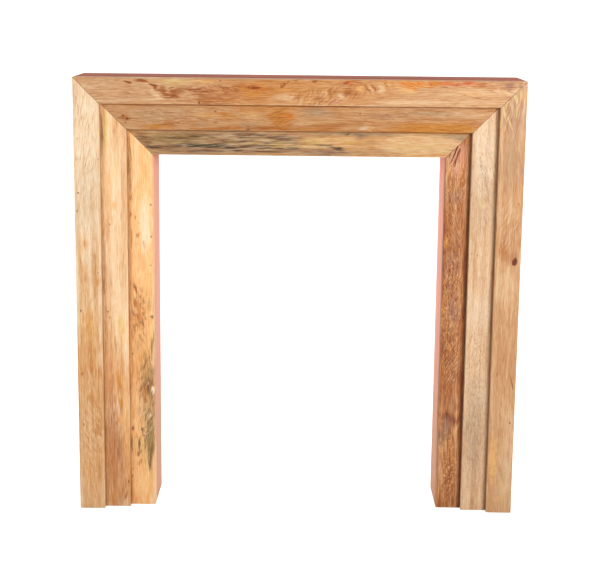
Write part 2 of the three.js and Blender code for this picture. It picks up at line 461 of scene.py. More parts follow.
        ("honey foot left", 134, 498, 90, 16.5, "honey", 0.8, 0.6, 0.15),
        ("copper ripple", 210, 511, 26.3, 10.1, "copper", 0.5, 0.7, 0.63, 30),
        ("olive tint", 105, 524, 37.2, 8.6, "olive", 0.3, 0.8, 0.42),
        ("rose edge", 192, 538, 118, 7.6, "rose", 0.45, 0.7, 0.12),
        ("honey foot", 38, 517, 13.4, 22.9, "honey", 0.6, 0.7, 0.42),
        ("dot 1", 794, 539, 3.5, 2, "rust", 0.8, 0.5),
        ("dot 2", 238, 538, 4.2, 2.8, "rust", 0.85, 0.5),
    ),
    "middle_stile_left": (
        ("honey edge", 850, -474, 300, 24, "honey", 0.4, 0.9, 0.2),
        ("amber drift", 340, -460, 140, 60, "amber", 0.6, 0.8, 0.2),
        ("straw stripe", 962, -472, 68.1, 7.3, "straw", 0.85, 0.6, 0.15),
        ("olive line", 955, -475, 58.5, 2.4, "olive", 0.45, 0.7, 0.56),
        ("pale field", 653, -455, 277, 39.7, "sap", 0.55, 0.6, 0.12),
        ("rose stripe 1", 710, -471, 65, 7.4, "rose", 0.5, 0.7, 0.18),
        ("honey blob", 780, -455, 14.9, 8.9, "honey", 0.7, 0.6, 0.35),
        ("straw blob 1", 864, -451, 44.3, 9.8, "straw", 0.5, 0.7, 0.42),
        ("mauve line", 864, -434, 93.5, 2.7, "mauve", 0.3, 0.8, 0.18),
        ("copper line 1", 753, -438, 24.9, 2, "copper", 0.45, 0.6, 0.42),
        ("copper line 2", 600, -442, 43, 2, "copper", 0.45, 0.6, 0.63),
        ("copper line 3", 620, -434, 55.6, 1.7, "copper", 0.45, 0.6, 0.63, 2),
        ("brown blob", 725, -465, 5, 3.7, "copper", 0.7, 0.5, 0.14),
        ("umber line", 582, -466, 17.8, 2.2, "umber", 0.5, 0.6, 0.42),
        # Painted shadow: a darker streak inside the shade that the outer stile casts along the step
        ("dark joint streak", 574, -482, 30.5, 3.5, "umber", 0.8, 0.6, 0.35),
        ("straw blob 2", 483, -442, 30.8, 10.5, "straw", 0.65, 0.7, 0.35),
        ("copper streak", 423, -456, 51.6, 4.3, "copper", 0.35, 0.7, 0.49, -3),
        ("rose stripe 2", 379, -472, 57, 6.5, "rose", 0.55, 0.7, 0.35),
        ("amber stripe", 327, -449, 59.9, 7.1, "amber", 0.8, 0.6, 0.42, -2),
        ("amber spot", 273, -444, 23.6, 7.1, "amber", 0.9, 0.6, 0.42, -6),
        ("rust line 1", 333, -464, 41.7, 2, "rust", 0.45, 0.6, 0.42),
        ("copper field", 162, -465, 186, 24.2, "copper", 0.6, 0.7, 0.21),
        ("mauve cast", 150, -462, 170, 26, "mauve", 0.45, 0.8, 0.21),
        ("honey patch low", 228, -445, 26.3, 10.2, "honey", 0.85, 0.6, 0.28),
        ("honey right strip", 175, -430, 185, 7.6, "honey", 0.9, 0.5, 0.12),
        ("brown drift low", 90, -452, 250, 70, "copper", 0.6, 0.8, 0.2),
        ("umber field", 157, -446, 42.5, 8.7, "umber", 0.4, 0.7, 0.49),
        ("rust line 2", 236, -468, 39.5, 2.3, "rust", 0.6, 0.6, 0.42),
        ("rust mark", 216, -456, 7.9, 3, "rust", 0.7, 0.6, 0.21),
        ("rust spot low 1", 63.5, -428, 9.1, 3.6, "ember", 0.7, 0.6, 0.21),
        ("rust spot low 2", 23.1, -435, 16.1, 4.6, "rust", 0.75, 0.6, 0.28, 10),
        ("amber foot", 19.9, -472, 18.8, 10.3, "amber", 0.5, 0.7, 0.35),
        ("grey foot", 17.6, -448, 16.2, 7.7, "greige", 0.5, 0.7, 0.35),
        ("dot 1", 510, -474, 3.3, 2.5, "umber", 0.7, 0.5),
        ("dot 2", 495, -470, 4.1, 2.5, "umber", 0.5, 0.5),
        ("brown edge low", 300, -470, 65, 22, "copper", 0.5, 0.9, 0.3),
        ("brown foot", 45, -440, 55, 24, "copper", 0.5, 0.9, 0.3),
        ("tan edge", 590, -473, 95, 22, "tan", 0.5, 0.9, 0.2),
        ("honey strip", 470, -435, 60, 22, "honey", 0.5, 0.9, 0.2),
        # Painted shadow: dark strips along the left edge, in place of the shade that the proud
        # outer stile casts
        ("corner grime", 640, -481, 420, 6, "copper", 0.6, 0.8, 0.35),
        ("corner grime top", 960, -483, 90, 5, "umber", 0.7, 0.7, 0.3),
    ),
    "middle_lintel": (
        ("grey veil right", 330, 1012, 150, 22, "greige", 0.35, 0.9, 0.3),
        ("brown drift end", 410, 985, 80, 26, "copper", 0.5, 0.9, 0.3),
        ("brown drift", 85, 1016, 80, 26, "copper", 0.35, 0.9, 0.3),
        ("amber drift", -70, 1018, 115, 26, "amber", 0.5, 0.9, 0.3),
        ("brown foot", -300, 984, 120, 22, "copper", 0.75, 0.9, 0.3),
        ("grey field left", -338, 1005, 146, 29.1, "greige", 0.3, 0.8, 0.18),
        ("amber foot 1", -344, 973, 60, 11, "amber", 0.8, 0.7, 0.4, 2),
        ("rust foot", -319, 978, 45, 9, "rust", 0.5, 0.7, 0.4, 4),
        ("knot cluster", -426, 995, 18.3, 10.9, "copper", 0.75, 0.6, 0.35, -15),
        ("knot dot 1", -430, 999, 3.9, 2.9, "ember", 0.9, 0.5),
        ("knot dot 2", -420, 991, 5.1, 3.2, "ember", 0.95, 0.5, 0, 20),
        ("knot dot 3", -424, 983, 3.7, 2.4, "ember", 0.6, 0.5),
        ("honey streak 1", -229, 1002, 48.7, 12.1, "honey", 0.6, 0.7, 0.63, -3),
        ("amber patch 1", -185, 1003, 29.2, 17, "amber", 0.7, 0.6, 0.56),
        ("dark dot", -205, 1011, 3.2, 2.4, "umber", 0.8, 0.5),
        ("brown dash 1", -206, 985, 12.2, 2.4, "umber", 0.5, 0.6, 0.42, -4),
        ("brown dash 2", -244, 992, 21.9, 1.9, "umber", 0.4, 0.6, 0.42, -5),
        ("grey streak 1", -241, 981, 21.9, 6.8, "greige", 0.6, 0.7, 0.35),
        ("honey streak 2", -119, 1007, 38.9, 12.1, "honey", 0.55, 0.7, 0.56),
        ("grey foot", -124, 978, 43.9, 10.9, "greige", 0.55, 0.7, 0.35),
        ("dark fleck", -130, 968, 7.3, 2.9, "black", 0.85, 0.5, 0.14),
        ("dark fleck tail", -125, 975, 8.5, 1.7, "umber", 0.6, 0.6, 0.21, 3),
        ("amber patch 2", -43.9, 995, 41.4, 33.9, "amber", 0.85, 0.7, 0.32),
        ("orange flare", -24.5, 1001, 21.9, 24.2, "orange", 0.6, 0.6, 0.63),
        ("grey field middle", 45.9, 1011, 58.3, 19.4, "greige", 0.8, 0.6, 0.42),
        ("copper foot", 65.9, 975, 63.3, 13.4, "copper", 0.7, 0.6, 0.24),
        ("light dashes", 17.1, 982, 29.2, 6.1, "sap", 0.45, 0.6, 0.84),
        ("gleam", 161, 975, 19.5, 13.4, "cream", 0.6, 0.8, 0.56, 20),
        ("gleam edge", 176, 973, 7.3, 10.9, "honey", 0.6, 0.6, 0.42, 10),
        ("umber dot", 147, 1009, 2.9, 2.2, "umber", 0.9, 0.5),
        ("mauve streak", 204, 1003, 92.4, 8.7, "mauve", 0.45, 0.8, 0.36, -2),
        ("amber foot 2", 330, 975, 170, 19, "amber", 0.85, 0.5, 0.21),
        ("grey streak 2", 343, 1012, 121, 7.3, "greige", 0.5, 0.7, 0.3, -1),
        ("pale right end", 400, 1014, 110, 22, "sap", 0.5, 0.8, 0.28),
        # Painted shadow: a dark line along the top edge, under the proud outer lintel
        ("corner grime", 0, 1029, 3000, 4.5, "umber", 0.75, 0.6),
    ),
    "middle_stile_right": (
        ("light veil low", 300, 462, 70, 36, "cream", 0.3, 0.9, 0.15),
        ("light veil", 520, 450, 110, 60, "cream", 0.3, 0.9, 0.15),
        ("grey veil", 800, 450, 190, 60, "greige", 0.35, 0.9, 0.15),
        ("cream top", 923, 453, 147, 36.6, "cream", 0.5, 0.6, 0.12),
        ("mauve patch 1", 847, 460, 29.6, 15.9, "mauve", 0.45, 0.7, 0.63, -10),
        ("mauve patch 2", 879, 452, 17.2, 9.8, "mauve", 0.3, 0.7, 0.63, 20),
        ("straw blob", 795, 452, 14.9, 9.8, "straw", 0.45, 0.7, 0.42, 10),
        ("straw tint", 478, 469, 35.9, 12.5, "straw", 0.5, 0.8, 0.42),
        ("greige low", 212, 452, 198, 35.5, "greige", 0.55, 0.6, 0.15),
        ("mauve streak low", 194, 455, 68.7, 10.2, "mauve", 0.2, 0.8, 0.3, 4),
        ("olive tint low", 217, 432, 36.9, 12.7, "olive", 0.25, 0.8, 0.42),
        ("dot 1", 884, 445, 3.9, 2.2, "slate", 0.6, 0.5),
        ("dot 2", 663, 444, 3.5, 2, "umber", 0.6, 0.5),
        ("light field", 505, 466, 110, 30, "cream", 0.35, 0.9, 0.2),
        # Painted shadow: a dark strip along the right edge, where the outer stile stands proud
        ("corner grime", 500, 487, 3000, 8, "umber", 0.6, 0.7),
    ),
    "inner_stile_left": (
        ("olive foot", 160, -385, 110, 34, "olive", 0.3, 0.9, 0.3),
        ("amber ground", 430, -392, 200, 46, "amber", 0.35, 0.9, 0.2),
        ("amber drift", 340, -405, 210, 46, "amber", 0.3, 0.9, 0.2),
        ("olive drift", 290, -374, 190, 36, "olive", 0.6, 0.8, 0.3),
        ("honey field", 714, -390, 201, 37.3, "honey", 0.55, 0.6, 0.12),
        ("cream glow", 726, -380, 113, 22, "cream", 0.7, 0.8, 0.15),
        ("brown blob 1", 802, -416, 11.2, 4.9, "copper", 0.8, 0.6, 0.35),
        ("brown blob 2", 759, -415, 11.2, 5, "copper", 0.85, 0.6, 0.28),
        ("amber edge", 701, -415, 45.3, 5.5, "amber", 0.6, 0.7, 0.35),
        ("cluster 1", 700, -400, 10.1, 6, "copper", 0.8, 0.6, 0.42, -25),
        ("cluster 2", 673, -385, 15.1, 5, "copper", 0.5, 0.6, 0.63, -20),
        ("cluster 3", 748, -404, 10, 3, "olive", 0.6, 0.6, 0.42, 10),
        ("swirl", 633, -389, 27.9, 12.5, "amber", 0.4, 0.7, 0.56, -20),
        ("rust knot 1", 568, -407, 21, 8.5, "rust", 1, 0.6, 0.6, -18),
        ("amber field", 508, -402, 61.6, 22, "amber", 0.7, 0.6, 0.27),
        ("olive field", 536, -372, 33.3, 12.5, "olive", 0.35, 0.7, 0.63),
        ("rust knot 2", 531, -404, 14.1, 12.5, "rust", 0.65, 0.6, 0.8, -15),
        ("brown vein", 487, -398, 36.9, 5.4, "copper", 0.92, 0.6, 0.35, -3),
        ("cream island 1", 513, -406, 10.3, 6, "sap", 0.6, 0.6, 0.28),
        ("dark spot", 500, -366, 7.9, 5, "umber", 0.82, 0.6, 0.28, 20),
        ("olive edge", 426, -365, 45.5, 5, "olive", 0.82, 0.6, 0.42, 6),
        ("umber veins", 366, -370, 43, 12.6, "umber", 0.72, 0.7, 0.77, -12),
        ("umber patch", 305, -380, 40.4, 14.6, "umber", 0.87, 0.6, 0.56),
        ("knot ring", 312, -373, 36, 16, "umber", 0.5, 0.7, 0.35),
        ("rusty spot", 313, -366, 11.8, 5.6, "rust", 0.6, 0.6, 0.35),
        ("cream island 2", 322, -376, 6.8, 2.5, "cream", 0.9, 0.5),
        ("cream island 3", 302, -364, 10.5, 5.6, "cream", 0.8, 0.5, 0.14),
        ("amber vein", 277, -382, 18.4, 7.6, "amber", 0.7, 0.6, 0.35, -10),
        ("dark olive strip", 179, -372, 90.4, 11.8, "olive", 0.95, 0.4, 0.14),
        ("umber strip foot", 117, -372, 48, 9.2, "umber", 0.8, 0.7, 0.56),
        ("honey ground", 170, -408, 69.2, 17.9, "honey", 0.5, 0.7, 0.12),
        ("brown rim 1", 164, -408, 33, 11, "rust", 0.6, 0.6, 0.7),
        ("brown rim 2", 164, -391, 30, 8.5, "rust", 0.6, 0.6, 0.7),
        ("straw island 1", 164, -408, 24, 6.2, "straw", 0.9, 0.5, 0.21),
        ("straw island 2", 164, -391, 24, 4.4, "straw", 0.8, 0.5, 0.28),
        ("brown gap 1", 161, -420, 32.2, 4.8, "umber", 0.87, 0.6, 0.6),
        ("brown gap 2", 161, -399, 26.4, 3.5, "umber", 0.87, 0.6, 0.6),
        ("brown gap 3", 138, -401, 8.8, 12.8, "umber", 0.67, 0.7, 0.42),
        ("umber mark 1", 197, -389, 5.8, 9.6, "umber", 0.9, 0.5, 0.6, -40),
        ("umber mark 2", 180, -388, 5.8, 4.5, "umber", 0.85, 0.5, 0.5),
        ("brown arc", 203, -416, 10.2, 5.8, "rust", 0.87, 0.6, 0.7, 25),
        ("rust dashes", 113, -399, 9, 16, "rust", 0.55, 0.5, 1),
        ("brown spot 1", 90.9, -417, 6.7, 3.3, "copper", 0.8, 0.6, 0.21),
        ("brown spot 2", 72.6, -420, 6.7, 3.3, "copper", 0.8, 0.6, 0.21),
        ("honey foot", 39.2, -394, 45.9, 36.1, "honey", 0.85, 0.35, 0.17),
        ("amber foot edge", 41.6, -420, 43.2, 4.1, "amber", 0.55, 0.7, 0.35),
        ("dot 1", 778, -366, 4.5, 2.5, "umber", 0.8, 0.5, 0, 10),
        ("dot 2", 698, -366, 4.5, 2.5, "umber", 0.7, 0.5),
        ("dot 3", 626, -367, 2.5, 2.5, "umber", 0.7, 0.5),
        ("dot 4", 732, -396, 2.8, 2, "umber", 0.5, 0.5),
        ("dot 5", 398, -415, 5.2, 3.3, "umber", 0.6, 0.5, 0, 20),
        ("olive edge top", 850, -418, 120, 9, "olive", 0.6, 0.7, 0.6),
        # Painted shadow: dark strips along the left edge, where the middle stile stands proud
        ("corner grime", 640, -418, 520, 8, "copper", 0.6, 0.8, 0.35),
        ("corner grime top", 905, -420, 60, 5, "umber", 0.6, 0.7, 0.3),
    ),
    "inner_lintel": (
        ("grey veil right", 300, 944, 130, 18, "greige", 0.55, 0.9, 0.2),
        ("grey spalt field", -206, 934, 245, 39.2, "greige", 0.8, 0.35, 0.15),
        ("olive field", -292, 943, 128, 22, "olive", 0.65, 0.6, 0.27),
        ("slate field", -34, 948, 78.4, 14.7, "slate", 0.6, 0.7, 0.24),
        ("umber left end", -385, 942, 36, 20, "umber", 0.7, 0.6, 0.42, -20),
        ("light top line", -365, 959, 29.4, 2.4, "sap", 0.7, 0.6, 0.56),
        ("black streak 1", -353, 922, 34, 5.9, "black", 0.95, 0.6, 0.5),
        ("black streak 2", -235, 926, 110, 8, "black", 0.95, 0.5, 0.4, -1),
        ("mauve streak 1", -230, 917, 68.8, 3.9, "mauve", 0.75, 0.6, 0.18),
        ("black streak 3", -230, 912, 95, 3, "black", 0.8, 0.6, 0.3),
        ("straw streak 1", -301, 933, 31.9, 4.9, "straw", 0.4, 0.6, 0.56, 3),
        ("tan streak", -225, 937, 44.2, 7.4, "tan", 0.65, 0.6, 0.56),
        ("straw patch", -117, 933, 24.5, 7.4, "straw", 0.45, 0.5, 0.8),
        ("umber streak 1", -137, 922, 50.8, 3.9, "umber", 0.8, 0.6, 0.42),
        ("umber dash", -137, 953, 36.7, 4.3, "umber", 0.9, 0.6, 0.42, -2),
        ("mauve streak 2", -120, 916, 78.6, 4.9, "mauve", 0.7, 0.6, 0.21, -2),
        ("black dash", -144, 914, 25.4, 2.3, "black", 0.85, 0.6, 0.42),
        ("slate streak 1", -9.2, 923, 28.2, 3.6, "slate", 1, 0.6, 0.42, -2),
        ("straw streak 2", 32.3, 939, 49, 7.4, "straw", 0.55, 0.5, 1, -3),
        ("straw streak 3", 113, 939, 41.7, 5.9, "straw", 0.55, 0.5, 1, -2),
        ("umber streak 2", 46.9, 950, 39.2, 2.9, "umber", 0.5, 0.6, 0.56, 5),
        ("slate streak 2", 61.9, 930, 39.3, 3.9, "slate", 0.7, 0.6, 0.49, -3),
        ("black diagonal", 96.3, 921, 40, 8, "black", 0.95, 0.6, 0.6, -14),
        ("mauve foot", 76.8, 914, 58.9, 7.4, "mauve", 0.75, 0.6, 0.35, -3),
        ("slate patch", 147, 953, 20.8, 9.8, "slate", 0.6, 0.7, 0.42),
        ("dark tick", 117, 957, 9.8, 2.4, "black", 0.85, 0.5, 0.28, 22),
        ("grey wisp", 170, 939, 24.5, 6.1, "greige", 0.6, 0.7, 0.49, 20),
        ("pale right", 292, 934, 127, 31.9, "sap", 0.8, 0.35, 0.12),
        ("straw gleam", 285, 927, 98.1, 7.4, "straw", 0.35, 0.8, 0.36),
        ("grey right end", 375, 957, 41.6, 7.8, "greige", 0.75, 0.7, 0.42),
        ("dark foot dashes", 340, 909, 12.3, 2.2, "umber", 0.7, 0.6, 0.98),
        ("slate end tint", 390, 948, 24.5, 7.3, "slate", 0.35, 0.7, 0.42),
        ("umber field low", -310, 918, 100, 24, "umber", 0.4, 0.9, 0.4),
        ("slate field right", 55, 914, 110, 20, "slate", 0.4, 0.9, 0.4),
        # Painted shadow: a dark line along the top edge, under the proud middle lintel
        ("corner grime", 0, 966, 3000, 5.5, "umber", 0.8, 0.6),
    ),
    "inner_stile_right": (
        ("dark edge", 352, 410, 36, 16, "ember", 0.4, 0.9, 0.3),
        ("grey veil", 275, 395, 45, 26, "greige", 0.25, 0.9, 0.3),
        ("rust drift", 655, 388, 120, 70, "rust", 0.45, 0.9, 0.3),
        ("rose top", 901, 391, 64, 29.5, "rose", 0.85, 0.5, 0.12),
        ("orange flank", 882, 404, 54.2, 9.8, "orange", 0.45, 0.7, 0.42),
        ("light flank 1", 871, 370, 29.6, 5.4, "honey", 0.6, 0.6, 0.21, 22),
        ("crack edge", 904, 388, 33.2, 4.2, "ember", 0.9, 0.5, 0.07, 21),
        ("dark tick 1", 910, 370, 14.7, 3.2, "ember", 0.8, 0.6, 0.21, 18),
        ("dark tick 2", 874, 395, 14.8, 2.8, "ember", 0.6, 0.6, 0.28, 28),
        ("dark tick 3", 847, 381, 14.8, 2.2, "rust", 0.6, 0.6, 0.28, 30),
        ("mauve band", 807, 390, 32.3, 27.1, "mauve", 0.75, 0.6, 0.49),
        ("dark flecks", 795, 374, 17.4, 7.4, "umber", 0.45, 0.6, 0.84),
        ("copper field", 697, 386, 70.4, 27.3, "copper", 0.5, 0.7, 0.18),
        ("amber vein left", 697, 369, 30.2, 6, "amber", 0.6, 0.7, 0.42, 10),
        ("rose field", 642, 392, 30.4, 17.4, "rose", 0.3, 0.8, 0.42),
        ("rust heart", 583, 384, 40.7, 20, "rust", 0.4, 0.7, 0.42),
        ("amber edge", 529, 367, 71.7, 6, "amber", 0.75, 0.6, 0.21),
        ("mauve heart", 514, 389, 45, 22, "mauve", 0.8, 0.7, 0.35),
        ("dark smudge", 469, 380, 14.2, 9, "umber", 0.75, 0.7, 0.42),
        ("rust field low", 416, 387, 67.4, 22.7, "rust", 0.25, 0.8, 0.18),
        ("amber edge low", 385, 368, 36.4, 5.6, "amber", 0.5, 0.7, 0.49),
        ("mauve smudge", 339, 398, 13.1, 12.7, "mauve", 0.6, 0.7, 0.35),
        ("ember band", 240, 390, 21, 40, "ember", 0.75, 0.6, 0.5, 18),
        ("ember edge", 225, 372, 11.9, 7.6, "ember", 0.6, 0.6, 0.42),
        ("umber patch", 204, 377, 34, 18, "umber", 0.7, 0.6, 0.5, 12),
        ("slate foot of patch", 174, 369, 10.6, 6.6, "slate", 0.7, 0.6, 0.35),
        ("light flank 2", 212, 407, 21.2, 7.6, "honey", 0.55, 0.7, 0.35, 20),
        ("copper low field", 121, 391, 80.2, 25.6, "copper", 0.6, 0.7, 0.12),
        ("rust foot", 55, 393, 110, 23.1, "rust", 0.95, 0.7, 0.42),
        ("dark flank", 358, 404, 60, 17, "ember", 0.35, 0.8, 0.4, 15),
        ("dark patch low", 205, 378, 48, 20, "umber", 0.45, 0.8, 0.4, 14),
        # Painted shadow: a dark strip along the right edge, where the middle stile stands proud
        ("corner grime", 450, 424, 3000, 11, "umber", 0.85, 0.7),
        ("mauve shade", 215, 380, 55, 26, "mauve", 0.65, 0.9, 0.3, 14),
    ),
}

# The figures of each board, painted over its marks
FIGURES = {
    "outer_stile_left": (
        ("leaning grain", 914, -523, 231, 43.8, "tan", 0.65, 9, 34, 3.4),
        ("curl low", 185, -513, 116, 38, "sap", 0.55, -32, 26, 5),
        ("curl low dark", 185, -513, 121, 38, "copper", 0.5, -30, 24, 6),
    ),
    "outer_lintel": (
        ("curl light strokes", 45.3, 1049, 82.1, 31.2, "sap", 0.6, 52, 34, 6),
        ("curl dark strokes", 45.3, 1049, 77.3, 31.2, "rust", 0.5, 50, 30, 7),
        ("dashes in the V", -249, 1053, 91.8, 26.4, "rust", 0.55, -14, 14, 3.4),
        ("straw flickers", 255, 1082, 81.9, 16.7, "straw", 0.4, -30, 16, 4),
        ("corner swirl", 498, 1070, 38.6, 21.5, "sap", 0.5, -40, 26, 5),
        ("fine dashes", -457, 1060, 106, 35.9, "mauve", 0.35, 0, 14, 3),
        ("rust arm dashes", -205, 1065, 95, 14, "rust", 0.8, -12, 13, 3.4),
        ("brown curls", 120, 1066, 70, 26, "rust", 0.5, 62, 30, 6),
    ),
    "outer_stile_right": (
        ("feather strokes top", 1018, 515, 81.8, 33.8, "cream", 0.3, 12, 34, 3.6),
        ("diagonal strokes", 741, 516, 89.3, 34.3, "cream", 0.28, 24, 40, 3.6),
        ("ripple low", 152, 508, 122, 30.4, "copper", 0.3, 8, 16, 5),
        ("tan strokes", 400, 515, 260, 34, "copper", 0.25, 6, 40, 4),
    ),
    "middle_stile_left": (
        ("rust lines", 175, -462, 175, 30.6, "rust", 0.3, -2, 40, 3.4),
        ("cream lines", 715, -455, 300, 29.7, "cream", 0.2, 0, 60, 4.5),
    ),
    "middle_lintel": (
        ("ember flames", -36.6, 996, 43.8, 33.9, "ember", 0.3, 20, 26, 4.5),
        ("light dashes", -314, 998, 146, 31.5, "cream", 0.25, -4, 20, 3.6),
        ("umber dashes", 270, 1009, 170, 16.9, "umber", 0.25, -2, 14, 3),
    ),
    "middle_stile_right": (
        ("leaning dashes", 850, 455, 172, 34.3, "mauve", 0.4, -20, 16, 3.4),
        ("fine mottles", 291, 450, 288, 35.4, "mauve", 0.45, 8, 9, 3.2),
    ),
    "inner_stile_left": (
        ("copper mottles", 521, -396, 76.9, 24, "copper", 0.55, -10, 14, 4),
        ("olive lines low", 203, -377, 117, 23, "olive", 0.85, 12, 22, 3.6),
        ("pale lines low", 229, -380, 63.5, 17.8, "cream", 0.4, 28, 26, 3),
        ("amber mottles", 330, -398, 220, 40, "amber", 0.5, 8, 40, 6),
        ("spalt web", 490, -397, 95, 24, "umber", 0.65, -20, 24, 8),
        ("brown web", 300, -380, 120, 32, "umber", 0.55, 16, 28, 8),
    ),
    "inner_lintel": (
        ("spalt lines", -144, 935, 233, 34.3, "black", 0.9, -1, 60, 4),
        ("light wisps", -144, 937, 233, 34.3, "cream", 0.35, 2, 46, 4),
        ("umber bands", -170, 932, 250, 34, "umber", 0.7, 1, 95, 7),
        ("straw bands", -20, 937, 200, 20, "straw", 0.35, 2, 70, 5),
    ),
    "inner_stile_right": (
        ("light strokes", 847, 386, 109, 32, "honey", 0.5, 26, 22, 3.6),
        ("light curl mid", 545, 388, 153, 30, "honey", 0.65, 24, 14, 3),
        ("light curl", 403, 390, 114, 30.3, "honey", 0.8, 27, 24, 3),
        ("ripples low", 121, 391, 118, 30.7, "honey", 0.6, 38, 9, 3.2),
        ("dark ripples", 570, 382, 382, 32.5, "ember", 0.75, -24, 12, 3),
        ("mauve curls", 520, 388, 300, 34, "mauve", 0.55, 30, 34, 9),
    ),
}

# What each board's wood is like as a whole
GROUNDS = {
    "outer_stile_left": Ground("tan", "sap", "cream", 0.55, 0.2, 1.08, 0.86),
    "outer_lintel": Ground("tan", "tan", "sap", 0.55, 0.2, 1.06, 0.77),
    "outer_stile_right": Ground("tan", "tan", "sap", 0.42, 0.2, 1.05, 0.75),
    "middle_stile_left": Ground("tan", "sap", "cream", 0.45, 0.15, 1.08, 0.94),
    "middle_lintel": Ground("copper", "tan", "tan", 0.52, 0.25, 1.1, 0.68),
    "middle_stile_right": Ground("tan", "sap", "sap", 0.43, 0.5, 1.0, 0.79),
    "inner_stile_left": Ground("honey", "honey", "sap", 0.55, 0.15, 1.0, 1.0),
    "inner_lintel": Ground("greige", "tan", "sap", 0.5, 0.2, 1.16, 0.71),
    "inner_stile_right": Ground("rust", "copper", "tan", 0.72, 0.35, 1.03, 0.77),
}

# Drying cracks that are open far enough to have a depth
CRACKS = {
    "inner_stile_right": (Crack(917.0, 383.5, length=64.0, width=3.0, depth=9.0, lean=21.0),),
}

# A colour Mix node's sockets by number, because its other kinds of socket share their names
MIX_FIRST = 6
MIX_SECOND = 7
MIX_RESULT = 2

# What the nodes that come up again and again are set to
PAINT = {"data_type": "RGBA", "blend_type": "MIX"}
SOFT_LIGHT = {"data_type": "RGBA", "blend_type": "SOFT_LIGHT"}
SMOOTH = {"interpolation_type": "SMOOTHSTEP"}
TIMES = {"operation": "MULTIPLY"}
TIMES_PLUS = {"operation": "MULTIPLY_ADD"}
MINUS = {"operation": "SUBTRACT"}
UNSIGNED = {"operation": "ABSOLUTE"}


def add_node(tree, kind, settings, inputs):
    """Adds a node. A socket among its inputs is linked, and anything else is set as a value."""
    node = tree.nodes.new(kind)
    for name, value in settings.items():
        setattr(node, name, value)
    for name, value in inputs.items():
        if isinstance(value, bpy.types.NodeSocket):
            tree.links.new(value, node.inputs[name])
        else:
            node.inputs[name].default_value = value
    return node


def passage(value, low, high, to_low=0.0, to_high=1.0):
    """Map Range inputs: from to_low to to_high, as the value goes from low to high."""
    return {"Value": value, "From Min": low, "From Max": high, "To Min": to_low, "To Max": to_high}


def laid_over(under, over, share):
    """Mix inputs: a tone or a pattern laid over another, by a share or a mask."""
    return {MIX_FIRST: under, MIX_SECOND: over, "Factor": share}


def new_tree(name):
    """An empty material and its node tree."""
    material = bpy.data.materials.new(name)
    material.use_nodes = True
    material.node_tree.nodes.clear()
    return material, material.node_tree


class Pattern(NamedTuple):
    """Noise in a board: how large its lumps are, where in the noise it starts, and how fine and
    how strong the detail in its lumps is."""

    # In millimetres along, across and through the board
    lengths: tuple
    seed: float
    detail: float
    roughness: float = 0.55


# How far a seed moves a pattern across the board, as a share of how far it moves it along
SEED_ACROSS = 0.37


def grain(tree, place, pattern, board_seed=0.0):
    """Draws a pattern. Each board's own seed makes it another part of the noise."""
    seed = board_seed + pattern.seed
    moved = add_node(
        tree,
        "ShaderNodeMapping",
        {"vector_type": "POINT"},
        {
            "Vector": place,
            "Location": (seed, SEED_ACROSS * seed, 0.0),
            "Scale": [1 / lump for lump in pattern.lengths],
        },
    ).outputs["Vector"]
    return add_node(
        tree,
        "ShaderNodeTexNoise",
        {"noise_dimensions": "3D", "normalize": True},
        {
            "Vector": moved,
            "Scale": 1.0,
            "Detail": pattern.detail,
            "Roughness": pattern.roughness,
        },
    )


def board_place(tree, along, across):
    """The place in millimetres along, across and through a board, from Object coordinates."""
    metres = add_node(tree, "ShaderNodeTexCoord", {}, {}).outputs["Object"]
    scaling = {"Vector": metres, "Scale": 1 / MM}
    scaled = add_node(tree, "ShaderNodeVectorMath", {"operation": "SCALE"}, scaling)
    millimetres = scaled.outputs["Vector"]
    parts = add_node(tree, "ShaderNodeSeparateXYZ", {}, {"Vector": millimetres}).outputs
    through = ({"X", "Y", "Z"} - {along, across}).pop()
    board = {"X": parts[along], "Y": parts[across], "Z": parts[through]}
    return add_node(tree, "ShaderNodeCombineXYZ", {}, board).outputs["Vector"]


def bent_place(tree, place, pattern, reach, board_seed=0.0):
    """The same place pushed about by a pattern, by up to half of reach in millimetres each way."""
    wander = grain(tree, place, pattern, board_seed).outputs["Color"]
    centred = {0: wander, 1: (0.5, 0.5, 0.5)}
    push = add_node(tree, "ShaderNodeVectorMath", MINUS, centred).outputs["Vector"]
    pushed = {0: push, 1: reach, 2: place}
    return add_node(tree, "ShaderNodeVectorMath", TIMES_PLUS, pushed).outputs["Vector"]


# A spot reaches this many millimetres through the board, so it is the same at any depth
ALL_THROUGH = 1e6


def spot(tree, place, patch, grown=1.0, lean=0.0):
    """1 in the middle of the ellipse of a mark or a figure, falling to 0 at its edge."""
    inside = add_node(
        tree,
        "ShaderNodeMapping",
        {"vector_type": "TEXTURE"},
        {
            "Vector": place,
            "Location": (patch.along, patch.across, 0.0),
            "Rotation": (0.0, 0.0, math.radians(lean)),
            "Scale": (grown * patch.half_length, grown * patch.half_width, ALL_THROUGH),
        },
    ).outputs["Vector"]
    ball = {"gradient_type": "SPHERICAL"}
    return add_node(tree, "ShaderNodeTexGradient", ball, {"Vector": inside}).outputs["Fac"]


def tone_bands(tree, growth, bands):
    """Colours a noise by its bands, each a level of the noise and its tone, lowest first."""
    ramp = add_node(tree, "ShaderNodeValToRGB", {}, {"Fac": growth})
    stops = ramp.color_ramp.elements
    for level, _ in bands[1:-1]:
        stops.new(level)
    for stop, (level, band_tone) in zip(stops, bands):
        stop.position = level
        stop.color = band_tone
    return ramp.outputs["Color"]


def show_wood(tree, finish, colour, roughness, height, relief):
    """Joins a wood's finish, colour, roughness and relief in its shader."""
    bump = add_node(tree, "ShaderNodeBump", {}, {"Height": height} | relief).outputs["Normal"]
    patterns = {"Base Color": colour, "Roughness": roughness, "Normal": bump}
    shader = add_node(tree, "ShaderNodeBsdfPrincipled", {}, finish | patterns).outputs["BSDF"]
    add_node(tree, "ShaderNodeOutputMaterial", {}, {"Surface": shader})


